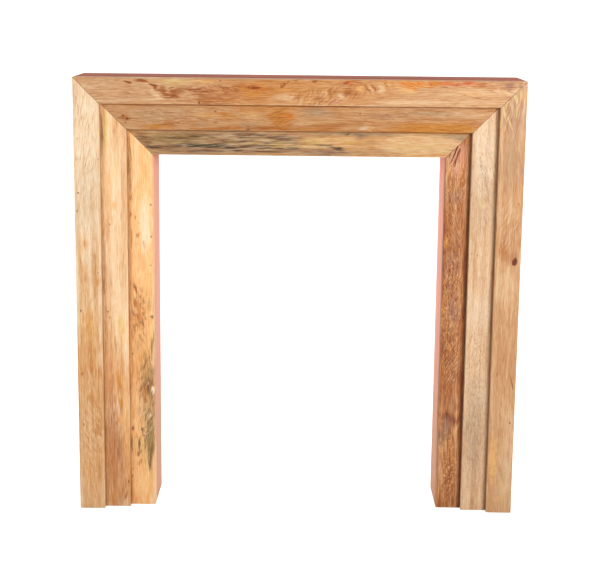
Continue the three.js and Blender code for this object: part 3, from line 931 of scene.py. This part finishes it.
# Mango wood's patterns. Its grain bends slowly, and the edges of its marks bend once more
SLOW_BENDS = Pattern((150, 30, 30), seed=0, detail=2.0)
SLOW_REACH = (36.0, 7.0, 7.0)
FRAYS = Pattern((44, 11, 11), seed=11, detail=2.0)
FRAY_REACH = (22.0, 6.0, 6.0)
GROWTH_BANDS = Pattern((260, 12, 14), seed=0, detail=3.5, roughness=0.5)
STREAKS = Pattern((36, 3.2, 3.2), seed=7, detail=2.0)
FINE_STREAKS = Pattern((34, 1.8, 1.8), seed=3, detail=4.0, roughness=0.7)
# Pores are drawn 1 mm wide, three times their real width, so that they show at all
PORES = Pattern((11, 1.0, 1.0), seed=5, detail=1.0)

# Levels of the growth bands at which the dark, the middle and the light tone are pure
BAND_LEVELS = (0.33, 0.5, 0.67)

# Levels of each noise, which lies mostly between 0.3 and 0.7, at which it starts and is full
STREAK_LEVELS = (0.3, 0.7)
STROKE_LEVELS = (0.48, 0.66)
FINE_LEVELS = (0.32, 0.68)
PORE_LEVELS = (0.60, 0.72)

# How far apart in the noise the patterns of one board and of the next start, and how much detail
# a figure's strokes have
SEED_STEP = 3.1
STROKE_DETAIL = 2.0

# A ragged mark is drawn larger by this share of its raggedness, and every mark starts this far in
RAGGED_GROWTH = 0.5
MARK_START = 0.02

# A figure's strokes are at full strength from this far in towards its middle
FIGURE_FULL = 0.5

# Planed mango wood under a satin wax: fine relief, and a duller gloss on its darker bands
WAXED = {"IOR": 1.45, "Metallic": 0.0, "Specular IOR Level": 0.5}
WAXED_ROUGHNESS = (0.56, 0.42)
WAXED_RELIEF = {"Strength": 0.35, "Distance": 0.15 * MM}
GLOSS_LEVELS = (0.3, 0.7)


def is_lintel(node):
    """Says whether a board lies across the top."""
    return node.endswith("lintel")


def mango_wood(node, tones):
    """Solid mango wood, planed and waxed to a satin. Sapwood runs into heartwood in one board, and
    spalting draws dark lines and grey-brown clouds along the grain, so no two boards are alike."""
    material, tree = new_tree("mango_wood_" + node)
    ground = GROUNDS[node]
    seed = SEED_STEP * (1 + sorted(GROUNDS).index(node))
    place = board_place(tree, *("XZ" if is_lintel(node) else "ZX"))
    bent = bent_place(tree, place, SLOW_BENDS, SLOW_REACH, seed)

    growth = grain(tree, bent, GROWTH_BANDS, seed).outputs["Fac"]
    band_tones = (tones[ground.dark], tones[ground.middle], tones[ground.light])
    colour = tone_bands(tree, growth, list(zip(BAND_LEVELS, band_tones)))
    colour = paint_marks(tree, colour, node, tones, place, bent, seed)
    colour = paint_figures(tree, colour, node, tones, bent, seed)

    fine = grain(tree, bent, FINE_STREAKS, seed).outputs["Fac"]
    spread = passage(fine, *FINE_LEVELS)
    fine = add_node(tree, "ShaderNodeMapRange", SMOOTH, spread).outputs["Result"]
    streaked = laid_over(colour, fine, ground.streak_share)
    colour = add_node(tree, "ShaderNodeMix", SOFT_LIGHT, streaked).outputs[MIX_RESULT]

    pores = grain(tree, bent, PORES, seed).outputs["Fac"]
    spread = passage(pores, *PORE_LEVELS)
    pores = add_node(tree, "ShaderNodeMapRange", SMOOTH, spread).outputs["Result"]
    dark = add_node(tree, "ShaderNodeMath", TIMES, {0: pores, 1: ground.pore_share})
    pored = laid_over(colour, tones["umber"], dark.outputs["Value"])
    colour = add_node(tree, "ShaderNodeMix", PAINT, pored).outputs[MIX_RESULT]

    whole = {"Color": colour, "Saturation": ground.richness, "Value": ground.lightness}
    colour = add_node(tree, "ShaderNodeHueSaturation", {}, whole).outputs["Color"]
    height = add_node(tree, "ShaderNodeMath", MINUS, {0: fine, 1: pores}).outputs["Value"]
    spread = passage(growth, *GLOSS_LEVELS, *WAXED_ROUGHNESS)
    roughness = add_node(tree, "ShaderNodeMapRange", SMOOTH, spread).outputs["Result"]
    show_wood(tree, WAXED, colour, roughness, height, WAXED_RELIEF)
    return material


def paint_marks(tree, colour, node, tones, place, bent, seed):
    """Paints a board's marks one over the other. The edge of a ragged one frays along the grain,
    because its place is bent once more and the streaks are added to its mask."""
    streaks = grain(tree, bent, STREAKS, seed).outputs["Fac"]
    spread = passage(streaks, *STREAK_LEVELS)
    streaks = add_node(tree, "ShaderNodeMapRange", SMOOTH, spread).outputs["Result"]
    frayed = bent_place(tree, bent, FRAYS, FRAY_REACH, seed)
    for row in MARKS[node]:
        mark = Mark(*row)
        where = frayed if mark.ragged else place
        mask = spot(tree, where, mark, 1 + RAGGED_GROWTH * mark.ragged, mark.lean)
        if mark.ragged:
            raised = {0: streaks, 1: mark.ragged, 2: mask}
            mask = add_node(tree, "ShaderNodeMath", TIMES_PLUS, raised).outputs["Value"]
        start = mark.ragged + MARK_START
        spread = passage(mask, start, start + mark.soft, 0.0, mark.strength)
        mask = add_node(tree, "ShaderNodeMapRange", SMOOTH, spread).outputs["Result"]
        painted = laid_over(colour, tones[mark.tone], mask)
        colour = add_node(tree, "ShaderNodeMix", PAINT, painted).outputs[MIX_RESULT]
    return colour


def paint_figures(tree, colour, node, tones, bent, seed):
    """Paints a board's figures: strokes at an angle to the grain, each inside its own ellipse."""
    for row in FIGURES[node]:
        figure = Figure(*row)
        spread = passage(spot(tree, bent, figure), 0.0, FIGURE_FULL, 0.0, figure.strength)
        patch = add_node(tree, "ShaderNodeMapRange", SMOOTH, spread).outputs["Result"]
        turning = {"Vector": bent, "Rotation": (0.0, 0.0, math.radians(figure.turn))}
        turned = add_node(tree, "ShaderNodeMapping", {"vector_type": "TEXTURE"}, turning)
        pattern = Pattern((figure.long, figure.wide, figure.wide), figure.wide, STROKE_DETAIL)
        strokes = grain(tree, turned.outputs["Vector"], pattern, seed).outputs["Fac"]
        spread = passage(strokes, *STROKE_LEVELS)
        strokes = add_node(tree, "ShaderNodeMapRange", SMOOTH, spread).outputs["Result"]
        mask = add_node(tree, "ShaderNodeMath", TIMES, {0: patch, 1: strokes}).outputs["Value"]
        painted = laid_over(colour, tones[figure.tone], mask)
        colour = add_node(tree, "ShaderNodeMix", PAINT, painted).outputs[MIX_RESULT]
    return colour


# The streak and the ground of each board's face veneer. The right return's lighter veneer is
# painted light, and the shelf's darker, redder one is partly its own tone and partly painted shade
# of a top that the lights only graze
VENEERS = {
    "shelf": ("shelf_dark", "shelf_veneer"),
    "side_left": ("veneer_dark", "veneer"),
    "side_right": ("veneer_dark", "veneer"),
    "return_left": ("veneer_dark", "veneer"),
    "return_right": ("lit_dark", "lit_veneer"),
    "soffit": ("veneer_dark", "veneer"),
}

# Plywood's patterns: those of its face veneer, and the end grain that its edges show
VENEER_BENDS = Pattern((160, 40, 40), seed=5, detail=2.0)
VENEER_REACH = (30.0, 8.0, 8.0)
VENEER_BANDS = Pattern((320, 7, 40), seed=2, detail=5.0, roughness=0.6)
VENEER_STREAKS = Pattern((60, 1.4, 3.0), seed=9, detail=4.0, roughness=0.7)
END_GRAIN = Pattern((3.0, 2.2, 0.9), seed=4, detail=3.0, roughness=0.7)

# Levels of the veneer's bands at which its streak and its ground are pure
VENEER_LEVELS = (0.38, 0.60)

# How much the veneer's streaks and the end grain show, from 0 to 1
VENEER_STREAK_SHARE = 0.35
END_GRAIN_SHARE = 0.7

# Heights between which an upright board's darker foot, painted shade of the light falling off
# towards the floor, fades out, and how strong it is
FOOT_HEIGHTS = (60.0, 560.0)
FOOT_STRENGTH = 0.8

# A wave through the thickness is 1 in a light ply, -1 in a dark one and 0 at the glue between
# them. These are its levels where the plies' tones are pure and where the glue line ends
PLY_TURN = 0.15
GLUE_EDGE = 0.22
GLUE_STRENGTH = 0.7

# Half the depth over which the face veneer takes over from the plies, in millimetres
FACE_TURN = 0.1

# Plywood sanded and sealed thinly: duller than wax, with almost no relief
SEALED = {"IOR": 1.45, "Metallic": 0.0, "Specular IOR Level": 0.2}
SEALED_ROUGHNESS = (0.78, 0.68)
SEALED_RELIEF = {"Strength": 0.3, "Distance": 0.15 * MM}


def red_plywood(node, low, high, tones, sizes):
    """Hardwood plywood with a red-brown face veneer, sanded and sealed. The eye sees faint streaks
    along its faces, and light and dark plies with glue lines between them at its edges."""
    material, tree = new_tree("red_plywood_" + node)
    extents = [top - bottom for bottom, top in zip(low, high)]
    thin = extents.index(min(extents))
    long = extents.index(max(extents))
    wide = 3 - thin - long
    place = board_place(tree, "XYZ"[long], "XYZ"[wide])
    parts = add_node(tree, "ShaderNodeSeparateXYZ", {}, {"Vector": place}).outputs
    middle = (low[thin] + high[thin]) / 2 / MM
    offset = add_node(tree, "ShaderNodeMath", MINUS, {0: parts["Z"], 1: middle}).outputs["Value"]
    depth = add_node(tree, "ShaderNodeMath", UNSIGNED, {0: offset}).outputs["Value"]

    bent = bent_place(tree, place, VENEER_BENDS, VENEER_REACH)
    bands = grain(tree, bent, VENEER_BANDS, long).outputs["Fac"]
    band_tones = [tones[name] for name in VENEERS[node]]
    face = tone_bands(tree, bands, list(zip(VENEER_LEVELS, band_tones)))
    fine = grain(tree, bent, VENEER_STREAKS).outputs["Fac"]
    streaked = laid_over(face, fine, VENEER_STREAK_SHARE)
    face = add_node(tree, "ShaderNodeMix", SOFT_LIGHT, streaked).outputs[MIX_RESULT]
    # Painted shade: an upright board darkens towards the floor
    if "XYZ"[long] == "Z":
        spread = passage(parts["X"], *FOOT_HEIGHTS, FOOT_STRENGTH, 0.0)
        foot = add_node(tree, "ShaderNodeMapRange", SMOOTH, spread).outputs["Result"]
        footed = laid_over(face, tones["veneer_foot"], foot)
        face = add_node(tree, "ShaderNodeMix", PAINT, footed).outputs[MIX_RESULT]

    edge = ply_edges(tree, place, depth, tones, sizes)
    veneer_start = min(extents) / 2 / MM - sizes.veneer / MM
    spread = passage(depth, veneer_start - FACE_TURN, veneer_start + FACE_TURN)
    on_face = add_node(tree, "ShaderNodeMapRange", SMOOTH, spread).outputs["Result"]
    faced = laid_over(edge, face, on_face)
    colour = add_node(tree, "ShaderNodeMix", PAINT, faced).outputs[MIX_RESULT]
    spread = passage(bands, *GLOSS_LEVELS, *SEALED_ROUGHNESS)
    roughness = add_node(tree, "ShaderNodeMapRange", SMOOTH, spread).outputs["Result"]
    show_wood(tree, SEALED, colour, roughness, fine, SEALED_RELIEF)
    return material


def ply_edges(tree, place, depth, tones, sizes):
    """Light and dark plies in turn, with end grain in them and a glue line between them."""
    half_turn_a_ply = {0: depth, 1: math.pi / (sizes.ply / MM), 2: math.pi / 2}
    turn = add_node(tree, "ShaderNodeMath", TIMES_PLUS, half_turn_a_ply).outputs["Value"]
    wave = add_node(tree, "ShaderNodeMath", {"operation": "SINE"}, {0: turn}).outputs["Value"]
    spread = passage(wave, -PLY_TURN, PLY_TURN)
    is_light = add_node(tree, "ShaderNodeMapRange", SMOOTH, spread).outputs["Result"]
    in_turn = laid_over(tones["ply_dark"], tones["ply_light"], is_light)
    colour = add_node(tree, "ShaderNodeMix", PAINT, in_turn).outputs[MIX_RESULT]
    ends = grain(tree, place, END_GRAIN).outputs["Fac"]
    grained = laid_over(colour, ends, END_GRAIN_SHARE)
    colour = add_node(tree, "ShaderNodeMix", SOFT_LIGHT, grained).outputs[MIX_RESULT]
    from_glue = add_node(tree, "ShaderNodeMath", UNSIGNED, {0: wave}).outputs["Value"]
    spread = passage(from_glue, 0.0, GLUE_EDGE, GLUE_STRENGTH, 0.0)
    glue = add_node(tree, "ShaderNodeMapRange", SMOOTH, spread).outputs["Result"]
    glued = laid_over(colour, tones["glue"], glue)
    return add_node(tree, "ShaderNodeMix", PAINT, glued).outputs[MIX_RESULT]


def tones_of(group):
    """A property group's colours by name, each with its alpha."""
    return {name: (*getattr(group, name), 1.0) for name in type(group).__annotations__}


# Faces that meet at less than this angle look like one
SMOOTH_ANGLE = math.radians(28)


def settle(piece, node, material):
    """Gives the piece its material and lets it stand for its CAD node."""
    piece.data.materials.clear()
    piece.data.materials.append(material)
    select_alone(piece)
    bpy.ops.object.shade_smooth_by_angle(angle=SMOOTH_ANGLE)
    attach(piece, "root")
    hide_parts(node)


# How far a board stops short of its mitre's plane, measured along its edge
MITRE_GAP = 0.2 * MM


def cut_mitres(node, low, high):
    """Cuts a lintel's two ends, or a stile's top, at 45 degrees."""
    if is_lintel(node):
        for side in (-1, 1):
            corner = Vector((high.x * side, 0, high.z)) - Vector((MITRE_GAP * side, 0, 0))
            cut_all(corner, Vector((side, 0, -1)), away=True)
    else:
        side = 1 if low.x > 0 else -1
        outer = high.x if side > 0 else low.x
        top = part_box(node.split("_")[0] + "_lintel")[1].z
        cut_all(Vector((outer, 0, top - MITRE_GAP)), Vector((-side, 0, 1)), away=True)


def on_line(axis, place, depth):
    """A test for the edges that run along a board at this place and depth."""
    return lambda start, end: all(
        near(point.y, depth) and near(point[axis], place) for point in (start, end)
    )


def ease_board(node, low, high, sizes):
    """Eases a board's four long edges, most where they are open and least where they are hidden."""
    if is_lintel(node):
        axis, inner, outer = 2, low.z, high.z
    else:
        axis = 0
        inner, outer = (low.x, high.x) if low.x > 0 else (high.x, low.x)
    outer_arris = sizes.arris if node.startswith("outer") else sizes.tight_arris
    ease_edges(sizes.arris, on_line(axis, inner, low.y))
    ease_edges(outer_arris, on_line(axis, outer, low.y))
    ease_edges(sizes.sawn_arris, on_line(axis, inner, high.y))
    ease_edges(sizes.sawn_arris, on_line(axis, outer, high.y))


# A board is cut into this many parts, so that its face can dip between them
PARTS_ALONG = 48
PARTS_ACROSS = 5


def divide(low, high, axis, parts):
    """Cuts what is in edit mode into equal parts along an axis."""
    direction = Vector((0, 0, 0))
    direction[axis] = 1
    for part in range(1, parts):
        cut_all(low.lerp(high, part / parts), direction)


def dip_faces(board, name, sizes):
    """Lets the planed faces dip a little, and rise nowhere."""
    dips = bpy.data.textures.new(name, "CLOUDS")
    dips.noise_scale = sizes.dip
    uneven = board.modifiers.new(name, "DISPLACE")
    uneven.texture = dips
    uneven.texture_coords = "LOCAL"
    uneven.mid_level = 1.0
    uneven.strength = sizes.unevenness
    apply_modifiers(board)


# A crack is cut by a ball 1 metre wide, scaled to the crack's size
CUTTER_RADIUS = 0.5
CUTTER_SEGMENTS = 14
CUTTER_RINGS = 8


def cut_crack(board, name, node, crack):
    """Cuts a drying crack into a board's face: a lens-shaped hollow that runs with the grain."""
    x, z = (crack.along, crack.across) if is_lintel(node) else (crack.across, crack.along)
    deselect_everything()
    bpy.ops.mesh.primitive_uv_sphere_add(
        segments=CUTTER_SEGMENTS,
        ring_count=CUTTER_RINGS,
        radius=CUTTER_RADIUS,
        location=Vector((x * MM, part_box(node)[0].y, z * MM)),
        scale=Vector((crack.width, 2 * crack.depth, crack.length)) * MM,
        rotation=(0.0, math.radians(crack.lean), 0.0),
    )
    cutter = bpy.context.active_object
    hollow = board.modifiers.new(name, "BOOLEAN")
    hollow.operation = "DIFFERENCE"
    hollow.solver = "EXACT"
    hollow.object = cutter
    apply_modifiers(board)
    bpy.data.objects.remove(cutter)


def model_mango_board(node, sizes):
    """Models one mango board: mitred, eased, with uneven faces and its cracks."""
    low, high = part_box(node)
    board = add_block(node + "_board", low, high)
    start_edit()
    cut_mitres(node, low, high)
    ease_board(node, low, high, sizes)
    along, across = (0, 2) if is_lintel(node) else (2, 0)
    divide(low, high, along, PARTS_ALONG)
    divide(low, high, across, PARTS_ACROSS)
    end_edit()
    dip_faces(board, node + "_dips", sizes)
    for number, crack in enumerate(CRACKS.get(node, ())):
        cut_crack(board, f"{node}_crack_{number}", node, crack)
    return board


def model_plywood_board(node, sizes):
    """Models one plywood board, with all its edges eased."""
    board = add_block(node + "_board", *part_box(node))
    start_edit()
    ease_edges(sizes.ply_arris, lambda start, end: True)
    end_edit()
    return board


class SURROUND_OT_mango_boards(bpy.types.Operator):
    """Model the nine mitred mango boards of the three frames"""

    bl_idname = "surround.mango_boards"
    bl_label = "Mango boards"

    def execute(self, context):
        sizes = context.scene.surround_sizes
        tones = tones_of(context.scene.surround_mango)
        for node in GROUNDS:
            board = model_mango_board(node, sizes)
            settle(board, node, mango_wood(node, tones))
        return {"FINISHED"}


class SURROUND_OT_plywood_boards(bpy.types.Operator):
    """Model the shelf, the sides, the returns and the soffit in plywood"""

    bl_idname = "surround.plywood_boards"
    bl_label = "Plywood boards"

    def execute(self, context):
        sizes = context.scene.surround_sizes
        tones = tones_of(context.scene.surround_plywood)
        for node in VENEERS:
            board = model_plywood_board(node, sizes)
            settle(board, node, red_plywood(node, *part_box(node), tones, sizes))
        return {"FINISHED"}


# Where each soft light hangs and how wide it is, and the place that they all face, in metres
LIGHTS = {
    "right_light": ((1.5, -1.9, 1.4), 0.6),
    "left_light": ((-1.6, -2.0, 1.4), 2.0),
}
LIGHTS_FACE = (0.0, 0.0, 0.8)


class SURROUND_OT_stage(bpy.types.Operator):
    """Set the floor, the lights and the camera"""

    bl_idname = "surround.stage"
    bl_label = "Stage"

    def execute(self, context):
        settings = context.scene.surround_stage
        lay_floor(settings)
        light_room(context.scene, settings)
        for name, (place, width) in LIGHTS.items():
            hang_light(name, place, width, getattr(settings, name))
        place_camera(context.scene)
        context.scene.view_settings.view_transform = "Standard"
        return {"FINISHED"}


# The floor's width and how far it lies under the surround, in metres, and its matt white paint
WHITE = (1.0, 1.0, 1.0, 1.0)
FLOOR_WIDTH = 60.0
FLOOR_DROP = 1 * MM
FLOOR_PAINT = {
    "Base Color": (*linear("F2F2F2"), 1.0),
    "Roughness": 0.9,
    "Specular IOR Level": 0.1,
    "Emission Color": WHITE,
}


def lay_floor(settings):
    """A plain white floor. Its glow, for the camera alone, keeps it white away from the lights."""
    deselect_everything()
    bpy.ops.mesh.primitive_plane_add(size=FLOOR_WIDTH, location=(0.0, 0.0, -FLOOR_DROP))
    floor = bpy.context.active_object
    floor.name = "floor"
    material, tree = new_tree("white_floor")
    to_camera = add_node(tree, "ShaderNodeLightPath", {}, {}).outputs["Is Camera Ray"]
    glow = add_node(tree, "ShaderNodeMath", TIMES, {0: to_camera, 1: settings.floor_glow})
    glowing = FLOOR_PAINT | {"Emission Strength": glow.outputs["Value"]}
    shader = add_node(tree, "ShaderNodeBsdfPrincipled", {}, glowing).outputs["BSDF"]
    add_node(tree, "ShaderNodeOutputMaterial", {}, {"Surface": shader})
    floor.data.materials.append(material)


# How far towards the back a direction points where the room's light turns into the backdrop's
BACKDROP_TURN = (-0.3, 0.4)
# The room's white for the camera, just past white so that it has no grey in it
ROOM_WHITE = 1.05


def light_room(scene, settings):
    """White all round for the camera. The light itself comes mostly from a backdrop behind."""
    world = bpy.data.worlds.new("white_room")
    world.use_nodes = True
    tree = world.node_tree
    tree.nodes.clear()
    to_camera = add_node(tree, "ShaderNodeLightPath", {}, {}).outputs["Is Camera Ray"]
    direction = add_node(tree, "ShaderNodeTexCoord", {}, {}).outputs["Generated"]
    parts = add_node(tree, "ShaderNodeSeparateXYZ", {}, {"Vector": direction}).outputs
    spread = passage(parts["Y"], *BACKDROP_TURN, settings.room_light, settings.backdrop_light)
    light = add_node(tree, "ShaderNodeMapRange", SMOOTH, spread).outputs["Result"]
    choice = {"Value": to_camera, "To Min": light, "To Max": ROOM_WHITE}
    strength = add_node(tree, "ShaderNodeMapRange", {}, choice).outputs["Result"]
    glow = add_node(tree, "ShaderNodeBackground", {}, {"Color": WHITE, "Strength": strength})
    add_node(tree, "ShaderNodeOutputWorld", {}, {"Surface": glow.outputs["Background"]})
    scene.world = world


def hang_light(name, place, width, power):
    """A square soft light that faces the surround."""
    light = bpy.data.lights.new(name, "AREA")
    light.shape = "SQUARE"
    light.size = width
    light.energy = power
    lamp = bpy.data.objects.new(name, light)
    bpy.context.scene.collection.objects.link(lamp)
    lamp.location = place
    lamp.rotation_mode = "QUATERNION"
    towards = Vector(LIGHTS_FACE) - lamp.location
    lamp.rotation_quaternion = towards.to_track_quat("-Z", "Y")


# The camera that the photograph's outline gives, for a frame 600 pixels wide and 583 high: its
# place in metres, and its angles in degrees
FRAME_WIDTH = 600
FOCAL_PIXELS = 1460.83
SENSOR_WIDTH = 36.0
CAMERA_PLACE = (0.0154, -3.6491, 1.2792)
CAMERA_PITCH = 11.288
CAMERA_YAW = -0.157
CAMERA_ROLL = 0.613


def place_camera(scene):
    """Looks down on the surround from in front, from a little above its shelf."""
    pitch, yaw, roll = (math.radians(a) for a in (CAMERA_PITCH, CAMERA_YAW, CAMERA_ROLL))
    forward = Vector(
        (math.sin(yaw) * math.cos(pitch), math.cos(yaw) * math.cos(pitch), -math.sin(pitch))
    )
    right = Vector((math.cos(yaw), -math.sin(yaw), 0.0))
    up = right.cross(forward)
    turned_right = math.cos(roll) * right + math.sin(roll) * up
    turned_up = -math.sin(roll) * right + math.cos(roll) * up
    camera = bpy.data.cameras.new("camera")
    camera.sensor_fit = "HORIZONTAL"
    camera.sensor_width = SENSOR_WIDTH
    camera.lens = FOCAL_PIXELS * SENSOR_WIDTH / FRAME_WIDTH
    eye = bpy.data.objects.new("camera", camera)
    scene.collection.objects.link(eye)
    turn = Matrix((turned_right, turned_up, -forward)).transposed().to_4x4()
    eye.matrix_world = Matrix.Translation(CAMERA_PLACE) @ turn
    scene.camera = eye


class SURROUND_PT_panel(bpy.types.Panel):
    """Everything that the user can change, and the steps in their order"""

    bl_idname = "SURROUND_PT_panel"
    bl_label = "Fireplace surround"
    bl_space_type = "VIEW_3D"
    bl_region_type = "UI"
    bl_category = "Surround"

    def draw(self, context):
        for group_name in GROUPS:
            group = getattr(context.scene, group_name)
            column = self.layout.column(align=True)
            for name in type(group).__annotations__:
                column.prop(group, name)
        for step in STEPS:
            self.layout.operator(step.bl_idname)


GROUPS = {
    "surround_sizes": SurroundSizes,
    "surround_mango": MangoTones,
    "surround_plywood": PlywoodTones,
    "surround_stage": StageSettings,
}
STEPS = (SURROUND_OT_mango_boards, SURROUND_OT_plywood_boards, SURROUND_OT_stage)


def register():
    """Adds the settings to the scene, and the operators and the panel to the window."""
    for group_name, group in GROUPS.items():
        bpy.utils.register_class(group)
        setattr(bpy.types.Scene, group_name, bpy.props.PointerProperty(type=group))
    for step in STEPS:
        bpy.utils.register_class(step)
    bpy.utils.register_class(SURROUND_PT_panel)


def unregister():
    """Takes away what register added."""
    bpy.utils.unregister_class(SURROUND_PT_panel)
    for step in reversed(STEPS):
        bpy.utils.unregister_class(step)
    for group_name, group in GROUPS.items():
        delattr(bpy.types.Scene, group_name)
        bpy.utils.unregister_class(group)


def main():
    """Builds the whole scene."""
    register()
    bpy.ops.surround.mango_boards()
    bpy.ops.surround.plywood_boards()
    bpy.ops.surround.stage()


if __name__ == "__main__":
    main()
